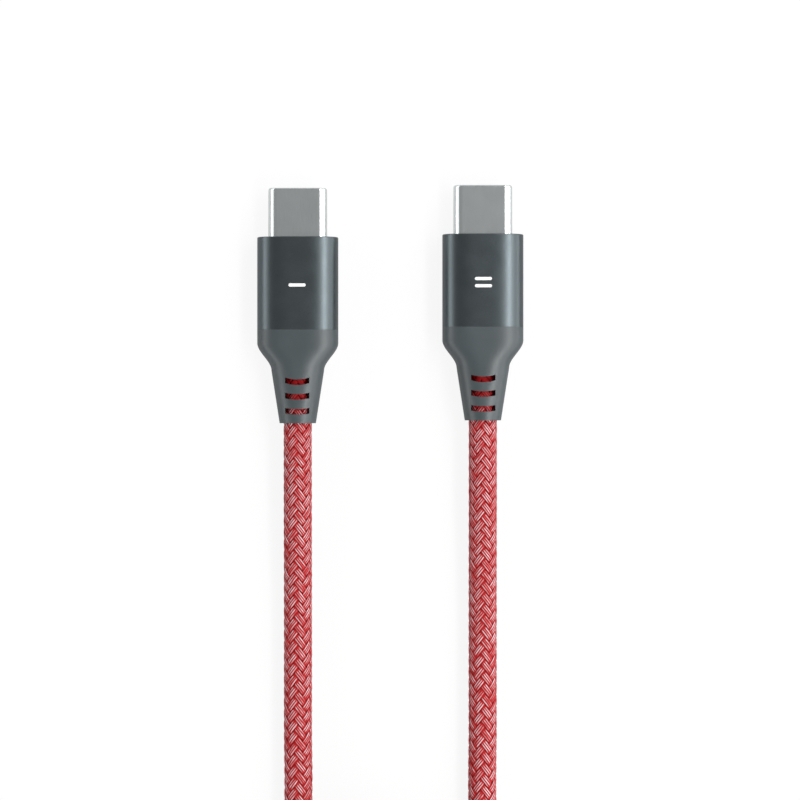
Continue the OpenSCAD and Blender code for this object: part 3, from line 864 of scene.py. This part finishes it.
def carved(plug, body, cutters, edge):
    """One plug's piece: the body less the cutters, its edges rounded, in its place."""
    blank, *tools = [in_scene("carve", to_mesh(bm)) for bm in (body, *cutters)]
    for cutter in tools:
        cut = blank.modifiers.new("cut", "BOOLEAN")
        cut.operation = "DIFFERENCE"
        cut.solver = "EXACT"
        cut.object = cutter
    rounding = blank.modifiers.new("round", "BEVEL")
    rounding.width = edge
    rounding.segments = CARVED_STEPS
    rounding.limit_method = "ANGLE"
    rounding.angle_limit = CRISP_ANGLE
    done = blank.evaluated_get(bpy.context.evaluated_depsgraph_get())
    mesh = bpy.data.meshes.new_from_object(done)
    for used in (blank, *tools):
        bpy.data.objects.remove(used)
    mesh.set_sharp_from_angle(angle=CRISP_ANGLE)
    mesh.transform(Matrix.Translation(PLUGS[plug]))
    return mesh


# Thickness of the housing's sides and of its front wall
HOUSING_WALL = 0.7 * MM
HOUSING_FRONT = 1.0 * MM
# Steps of the rounding round the housing's front
EDGE_STEPS = 6
# Rounding of the edges that are only broken
BREAK_EDGE = 0.02 * MM
# Clearance between pieces that only lie against each other
FIT = 0.05 * MM


def housing(plug, edge):
    """One plug's housing: a sleeve with a rounded front wall that the shell comes through."""
    name = "housing_" + plug
    half_w, half_t = half_size(name)
    back, front = station(name, 0), station(name, 1)
    rings = [(back, half_w, half_t)]
    for step in range(EDGE_STEPS + 1):
        turn = pi / 2 * step / EDGE_STEPS
        drop = edge * (1 - cos(turn))
        rings.append((front - edge + edge * sin(turn), half_w - drop, half_t - drop))
    inner = (half_w - HOUSING_WALL, half_t - HOUSING_WALL)
    cavity = [(back - THROUGH, *inner), (front - HOUSING_FRONT, *inner)]
    around_shell = [size + FIT for size in half_size("shell_" + plug)]
    hole = [(back, *around_shell), (front + THROUGH, *around_shell)]
    cutters = [lofted(cavity, domed), lofted(hole, round_ended)]
    return carved(plug, lofted(rings, domed), cutters, BREAK_EDGE)


class CABLE_OT_housings(bpy.types.Operator):
    """Makes the plugs' anodised housings: a sleeve with a front wall round the shell"""

    bl_idname = "cable.housings"
    bl_label = "Housings"

    def execute(self, context):
        sizes, colours = settings(context)
        anodised = anodised_aluminium(colours.housing)
        for plug in "ab":
            mesh = housing(plug, sizes.housing_edge)
            dress(mesh, "plug_housing_" + plug, anodised, "housing_aluminium", "housing_" + plug)
        return {"FINISHED"}


# The boot, by the CAD model's formula. Its thin end: radius, flat between the half-round
# sides, and widening of each side up to the shoulder
BOOT_END_R = 2.5 * MM
BOOT_END_FLAT = 0.1 * MM
BOOT_FLARE = 1.15 * MM
# Its shoulder, from the thin end, and the share of the thickening that the taper already has
SHOULDER_START = 7.4 * MM
SHOULDER_LEN = 3.85 * MM
TAPER_SHARE = 0.85
TAPER_STEPS = 4
SHOULDER_STEPS = 24
# The spigot that the housing is pressed over
SPIGOT_LEN = 1.5 * MM
# Bores round the braided end and round the cord's core
TAIL_BORE_R = 2.05 * MM
CORE_BORE_R = 1.2 * MM
# The flex slots: width, length along the plug, first one's middle, pitch, and how far the
# middle of each sags towards the thin end
SLOT_W = 3.4 * MM
SLOT_H = 0.78 * MM
SLOT_FIRST = 1.75 * MM
SLOT_PITCH = 2.13 * MM
SLOT_SAGS = (0.15 * MM, 0.2 * MM, 0.28 * MM)
SLOT_STEPS = 16


def boot_ring(y, full_w, full_t):
    """(y, half width, half thickness) of the boot at a distance from its thin end."""
    blend = smooth((y - SHOULDER_START) / SHOULDER_LEN)
    taper = min(y / SHOULDER_START, 1)
    thin_w = BOOT_END_FLAT / 2 + BOOT_END_R + BOOT_FLARE * taper
    thin_t = BOOT_END_R + (full_t - BOOT_END_R) * TAPER_SHARE * taper
    return y, (1 - blend) * thin_w + blend * full_w, (1 - blend) * thin_t + blend * full_t


def boot_body(boot_len, full_w, full_t):
    """The boot with its spigot, before its bore and slots are cut."""
    ys = [SHOULDER_START * i / TAPER_STEPS for i in range(TAPER_STEPS)]
    ys += [SHOULDER_START + SHOULDER_LEN * i / SHOULDER_STEPS for i in range(SHOULDER_STEPS + 1)]
    rings = [boot_ring(y, full_w, full_t) for y in [*ys, boot_len]]
    inner_w, inner_t = (size - HOUSING_WALL - FIT for size in (full_w, full_t))
    rings += [(boot_len, inner_w, inner_t), (boot_len + SPIGOT_LEN, inner_w, inner_t)]
    return lofted(rings, domed)


def bore_cutter(boot_len):
    """Two steps of bore: the braided end fits the wide one, the cord's core the narrow one."""
    end = TAIL_MM * MM + FIT
    far = boot_len + SPIGOT_LEN + THROUGH
    wide, narrow = (TAIL_BORE_R, TAIL_BORE_R), (CORE_BORE_R, CORE_BORE_R)
    return lofted([(-THROUGH, *wide), (end, *wide), (end, *narrow), (far, *narrow)], domed)


def slot_cutter(number):
    """One slot through both faces: a short arc that sags towards the thin end."""
    sag = SLOT_SAGS[number]
    radius = ((SLOT_W / 2) ** 2 + sag**2) / (2 * sag)
    middle = SLOT_FIRST + number * SLOT_PITCH
    bm = bmesh.new()
    bmesh.ops.create_grid(bm, x_segments=SLOT_STEPS, y_segments=1, size=0.5)
    for vert in bm.verts:
        x = vert.co.x * SLOT_W
        arc = middle - sag + radius - sqrt(radius**2 - x**2)
        vert.co = (x, arc + vert.co.y * SLOT_H, -THROUGH)
    up = bmesh.ops.extrude_face_region(bm, geom=bm.faces[:])["geom"]
    bmesh.ops.translate(bm, verts=parts_of(up, bmesh.types.BMVert), vec=(0, 0, 2 * THROUGH))
    return bm


def boot(plug, edge):
    """One plug's boot with its spigot, bore and slots."""
    boot_len = station("housing_" + plug, 0)
    cutters = [bore_cutter(boot_len)]
    cutters += [slot_cutter(number) for number in range(len(SLOT_SAGS))]
    body = boot_body(boot_len, *half_size("housing_" + plug))
    return carved(plug, body, cutters, edge)


class CABLE_OT_boots(bpy.types.Operator):
    """Makes the slotted rubber boots"""

    bl_idname = "cable.boots"
    bl_label = "Boots"

    def execute(self, context):
        sizes, colours = settings(context)
        rubber = moulded_rubber(colours.boot)
        for plug in "ab":
            mesh = boot(plug, sizes.slot_edge)
            dress(mesh, "plug_boot_" + plug, rubber, "boot_rubber", "boot_" + plug)
        return {"FINISHED"}


# Middle of the printed marks from the boot's thin end, and the step from one to the next
MARK_AT = 19.3 * MM
MARK_PITCH = 1.0 * MM
# Thickness of the ink
INK_FILM = 0.02 * MM
# Points round one mark
MARK_POINTS = 32


def dash(bm, width, height, y, top):
    """Adds one printed dash with half-round ends on the housing's top."""
    made = bmesh.ops.create_circle(
        bm, cap_ends=True, segments=MARK_POINTS, radius=height / 2
    )["verts"]
    half_flat = (width - height) / 2
    for vert in made:
        vert.co.x += half_flat if vert.co.x > 0 else -half_flat
    faces = list({face for vert in made for face in vert.link_faces})
    raised = bmesh.ops.extrude_face_region(bm, geom=faces)["geom"]
    tops = parts_of(raised, bmesh.types.BMVert)
    bmesh.ops.translate(bm, verts=tops, vec=(0, 0, INK_FILM))
    bmesh.ops.translate(bm, verts=[*made, *tops], vec=(0, y, top))


class CABLE_OT_marks(bpy.types.Operator):
    """Prints plain dashes on the housings: one for end A, two for end B"""

    bl_idname = "cable.marks"
    bl_label = "Marks"

    def execute(self, context):
        sizes, colours = settings(context)
        ink = pad_printed_ink(colours.ink)
        for plug, count in (("a", 1), ("b", 2)):
            bm = bmesh.new()
            top = half_size("housing_" + plug)[1]
            for number in range(count):
                y = MARK_AT + (number - (count - 1) / 2) * MARK_PITCH
                dash(bm, sizes.mark_w, sizes.mark_t, y, top)
            in_plug(bm, plug)
            dress(to_mesh(bm), "mark_" + plug, ink, "housing_aluminium")
        return {"FINISHED"}


# ---- The strap ----

# Gap between the strap and the cord
STRAP_GAP = 0.2 * MM
# Length by which the strap's end lies on its start
STRAP_LAP = 16.0 * MM
# Where the strap begins, as a share of the way round from the right
STRAP_FROM = 0.12
STRAP_ROWS = 260
# Directions in which the strap's outline is drawn tight
OUTLINE_WAYS = 720


def strap_line(cord, low_y, high_y):
    """Outline drawn tight round the strands between two stations: points and outward ways."""
    y = cord.points[:, 1]
    strands = cord.points[(y > low_y) & (y < high_y)][:, [0, 2]]
    angles = np.linspace(0, 2 * pi, OUTLINE_WAYS, endpoint=False)
    ways = np.stack([np.cos(angles), np.sin(angles)], axis=1)
    touched = strands[np.argmax(strands @ ways.T, axis=0)]
    return touched + ways * CORD_R_MM * MM, ways


def strap_section(half_w, half_t):
    """Points (across, outwards) round the strap's section: flat, with pointed edges."""
    flat = half_w - half_t
    return np.array([
        (flat, -half_t), (half_w, 0), (flat, half_t), (0, half_t), (-flat, half_t),
        (-half_w, 0), (-flat, -half_t), (0, -half_t), (flat, -half_t),
    ])


def strap(cord, thickness):
    """The strap: a band drawn tight round the hank, its end lapped on its start."""
    low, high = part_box("hank_tie")
    points, ways = strap_line(cord, low.y, high.y)
    closed = np.concatenate([points, points[:1]])
    gone = travelled(closed)
    round_len = gone[-1]
    turns = np.unwrap(np.arctan2(ways[:, 1], ways[:, 0]))
    turns = np.append(turns, turns[0] + 2 * pi)
    middle, half_w, half_t = (low.y + high.y) / 2, (high.y - low.y) / 2, thickness / 2
    section = strap_section(half_w, half_t)
    steps = len(section) - 1

    def roll(along, around, _number):
        distance = along * (round_len + STRAP_LAP)
        at = (distance + STRAP_FROM * round_len) % round_len
        x, z, turn = (np.interp(at, gone, way) for way in (*closed.T, turns))
        lapped = smooth((distance - round_len + STRAP_LAP) / STRAP_LAP)
        across, thick = section[np.rint(around * steps).astype(int)].T
        out = STRAP_GAP + half_t + thickness * lapped + thick
        return np.stack([x + out * np.cos(turn), middle + across, z + out * np.sin(turn)], axis=1)

    return to_mesh(roll_grid(STRAP_ROWS, steps, 1, roll))


class CABLE_OT_strap(bpy.types.Operator):
    """Wraps the hook-and-loop strap round the hank, its end lapped on its start"""

    bl_idname = "cable.strap"
    bl_label = "Strap"

    def execute(self, context):
        sizes, colours = settings(context)
        mesh = strap(CordFrame(), sizes.strap_t)
        dress(mesh, "hank_strap", loop_fabric(colours.strap), "tie_fabric", "hank_tie")
        return {"FINISHED"}


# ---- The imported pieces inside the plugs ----

# Distance from the plug's axis at which the outermost wires lie
WIRE_SPREAD = 2 * MM


def wire_skins(name, colours):
    """Extruded vinyl insulation, glossy and even, coloured by the wire's place across the plug.

    Each of the colours comes with the share of the way outwards at which it begins.
    """
    material, tree = new_material(name)
    where = add(tree, "ShaderNodeTexCoord").outputs["Object"]
    x = add(tree, "ShaderNodeSeparateXYZ", {0: where}).outputs[0]
    from_axis = maths(tree, "SUBTRACT", maths(tree, "ABSOLUTE", x), PLUGS["b"].x)
    values = {"Value": from_axis, "From Min": -WIRE_SPREAD, "From Max": WIRE_SPREAD}
    share = add(tree, "ShaderNodeMapRange", values).outputs[0]
    ramp = add(tree, "ShaderNodeValToRGB", {0: share})
    ramp.color_ramp.interpolation = "CONSTANT"
    stops = ramp.color_ramp.elements
    for number, (start, hex_colour) in enumerate(colours):
        stop = stops[number] if number < len(stops) else stops.new(start)
        stop.position = start
        stop.color = linear(hex_colour)
    wave = noise(tree, place(tree), scale=2.0)
    surface(
        tree, Base_Color=ramp.outputs[0], Roughness=span(tree, wave, 0.35, 0.5),
        Normal=bump(tree, wave, 0.006 * MM, strength=0.4),
    )
    return material


class CABLE_OT_inner_finishes(bpy.types.Operator):
    """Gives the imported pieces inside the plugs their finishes"""

    bl_idname = "cable.inner_finishes"
    bl_label = "Inner finishes"

    def execute(self, context):
        gold = plated_metal("copper_alloy_gold_plated", "#d8b25a", 0.2)
        spring = plated_metal("spring_steel_stamped", "#b4b7b8", 0.25)
        can = plated_metal("tinned_steel_stamped", "#b9bcbd", 0.3)
        finishes = {
            "insulator": moulded_plastic("liquid_crystal_polymer_moulded", "#1b1c1e", 0.42),
            "latch_plate": spring,
            "upper_contacts": gold,
            "lower_contacts": gold,
            "ground_springs": spring,
            "board": moulded_plastic("glass_epoxy_board_masked", "#1c5a3a", 0.35),
            "capacitors": moulded_plastic("ceramic_sintered", "#a8835a", 0.5),
            "id_chip": moulded_plastic("epoxy_transfer_moulded", "#232527", 0.55),
            "upper_can": can,
            "lower_can": can,
            "crimp_ring": plated_metal("brass_drawn", "#b99a55", 0.3),
            "cable_core": plated_metal("aluminium_foil_wrapped", "#a9acae", 0.35),
            "power_wires": wire_skins(
                "vinyl_insulation_power", [(0.0, "#232527"), (0.5, "#b02a2a")]
            ),
            "signal_wires": wire_skins(
                "vinyl_insulation_signal",
                [(0.0, "#2f5fa8"), (0.41, "#d9d9d6"), (0.59, "#2f7d4a")],
            ),
            "inner_mould": moulded_plastic("polyethylene_overmoulded", "#d6d6d0", 0.5),
        }
        for name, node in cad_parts.items():
            material = finishes.get(name[:-2])
            if material:
                for slot in node.material_slots:
                    slot.material = material
        return {"FINISHED"}


# ---- The stage ----

# Point below the camera, at the plugs' mid height, the width in view there and the camera's
# distance from it
VIEW_MIDDLE = Vector((1.36 * MM, -13.45 * MM, 2.8 * MM))
VIEW_WIDTH = 112.4 * MM
VIEW_DISTANCE = 0.4
# Width of the camera's sensor, in millimetres
SENSOR = 36.0
# Nearest and farthest that the camera sees
NEAREST = 0.01
FARTHEST = 10.0

# Level of the studio's walls and ceiling
ROOM_LEVEL = 0.235
# Softboxes stand in an arch over the object, along the plugs. Each one: name, where it begins
# and ends, in degrees from overhead towards +X, and radiance
SOFTBOXES = [
    ("inner_softbox", 22.5, 30.0, 2.2),
    ("key_softbox", 30.0, 37.5, 8.3),
    ("fill_softbox", 37.5, 60.0, 1.6),
    ("side_softbox", 60.0, 82.5, 1.0),
    ("low_softbox", 82.5, 90.0, 3.4),
    ("back_softbox", -60.0, -48.0, 0.9),
    ("rim_softbox", -80.0, -60.0, 2.1),
]
# Radius and length of that arch
ARCH_R = 0.6
ARCH_LEN = 2.4
# Radius of the floor and points round it
FLOOR_R = 4.0
FLOOR_POINTS = 64


def softbox(name, start, end, radiance):
    """A long rectangular lamp that shines at the object with an even radiance."""
    lamp = bpy.data.lights.new(name, "AREA")
    lamp.shape = "RECTANGLE"
    lamp.size, lamp.size_y = 2 * ARCH_R * tan(radians(end - start) / 2), ARCH_LEN
    lamp.energy = radiance * pi * lamp.size * lamp.size_y
    holder = in_scene(name, lamp)
    lean = radians(start + end) / 2
    holder.location = (ARCH_R * sin(lean), 0, ARCH_R * cos(lean))
    holder.rotation_euler = (0, lean, 0)
    holder.visible_camera = False


def studio_world():
    """Evenly dim walls and ceiling."""
    world = bpy.data.worlds.new("studio")
    bpy.context.scene.world = world
    world.use_nodes = True
    tree = world.node_tree
    tree.nodes.clear()
    shader = add(tree, "ShaderNodeBackground", {"Color": WHITE, "Strength": ROOM_LEVEL})
    add(tree, "ShaderNodeOutputWorld", {"Surface": shader.outputs[0]})


# Share of the paper's white that no shadow takes, by the kind of ray that sees it
GLOW = {"Is Camera Ray": 0.75, "Is Transmission Ray": 0.75, "Is Glossy Ray": 0.2}
# Strength of that share, at which paper in the open shows white
GLOW_LEVEL = 1.18


def seamless_paper(base):
    """Matt white studio paper, which shows white and keeps a soft shadow."""
    material, tree = new_material("studio_paper_matt")
    rays = add(tree, "ShaderNodeLightPath")
    glow = 0.0
    for kind, share in GLOW.items():
        glow = maths(tree, "MULTIPLY_ADD", rays.outputs[kind], share, glow)
    values = {"Vector": base[:3], "Scale": maths(tree, "SUBTRACT", 1.0, glow)}
    dimmed = add(tree, "ShaderNodeVectorMath", values, operation="SCALE").outputs[0]
    paper = add(tree, "ShaderNodeBsdfDiffuse", {"Color": dimmed})
    values = {"Color": WHITE, "Strength": maths(tree, "MULTIPLY", glow, GLOW_LEVEL)}
    shine = add(tree, "ShaderNodeEmission", values)
    both = add(tree, "ShaderNodeAddShader", {0: paper.outputs[0], 1: shine.outputs[0]})
    add(tree, "ShaderNodeOutputMaterial", {"Surface": both.outputs[0]})
    return material


def camera_above():
    """A camera that looks straight down at the plugs."""
    lens = bpy.data.cameras.new("camera")
    lens.sensor_width = SENSOR
    lens.lens = SENSOR * VIEW_DISTANCE / VIEW_WIDTH
    lens.clip_start = NEAREST
    lens.clip_end = FARTHEST
    camera = in_scene("camera", lens)
    camera.location = VIEW_MIDDLE + Vector((0, 0, VIEW_DISTANCE))
    return camera


def paper_floor(base):
    """A wide round floor of studio paper."""
    bm = bmesh.new()
    bmesh.ops.create_circle(bm, cap_ends=True, segments=FLOOR_POINTS, radius=FLOOR_R)
    mesh = bpy.data.meshes.new("floor")
    bm.to_mesh(mesh)
    bm.free()
    mesh.materials.append(seamless_paper(base))
    return in_scene("floor", mesh)


class CABLE_OT_stage(bpy.types.Operator):
    """Sets up the camera, the floor and the studio light"""

    bl_idname = "cable.stage"
    bl_label = "Stage"

    def execute(self, context):
        scene = context.scene
        scene.view_settings.view_transform = "Standard"
        scene.camera = camera_above()
        paper_floor(scene.cable_colours.floor)
        studio_world()
        for box in SOFTBOXES:
            softbox(*box)
        return {"FINISHED"}


class CABLE_PT_panel(bpy.types.Panel):
    """Lists the steps that finish the cable"""

    bl_label = "Charging cable"
    bl_space_type = "VIEW_3D"
    bl_region_type = "UI"
    bl_category = "Cable"

    def draw(self, context):
        for step in STEPS:
            self.layout.operator(step.bl_idname)
        for group in settings(context):
            for name in group.__annotations__:
                self.layout.prop(group, name)


STEPS = (
    CABLE_OT_stage, CABLE_OT_strap, CABLE_OT_cord, CABLE_OT_shells, CABLE_OT_housings,
    CABLE_OT_boots, CABLE_OT_marks, CABLE_OT_inner_finishes,
)
CLASSES = (CableSizes, CableColours, *STEPS, CABLE_PT_panel)


def register():
    for cls in CLASSES:
        bpy.utils.register_class(cls)
    bpy.types.Scene.cable_sizes = bpy.props.PointerProperty(type=CableSizes)
    bpy.types.Scene.cable_colours = bpy.props.PointerProperty(type=CableColours)


def unregister():
    del bpy.types.Scene.cable_colours
    del bpy.types.Scene.cable_sizes
    for cls in reversed(CLASSES):
        bpy.utils.unregister_class(cls)


def main():
    register()
    for step in STEPS:
        package, name = step.bl_idname.split(".")
        getattr(getattr(bpy.ops, package), name)()


if __name__ == "__main__":
    main()
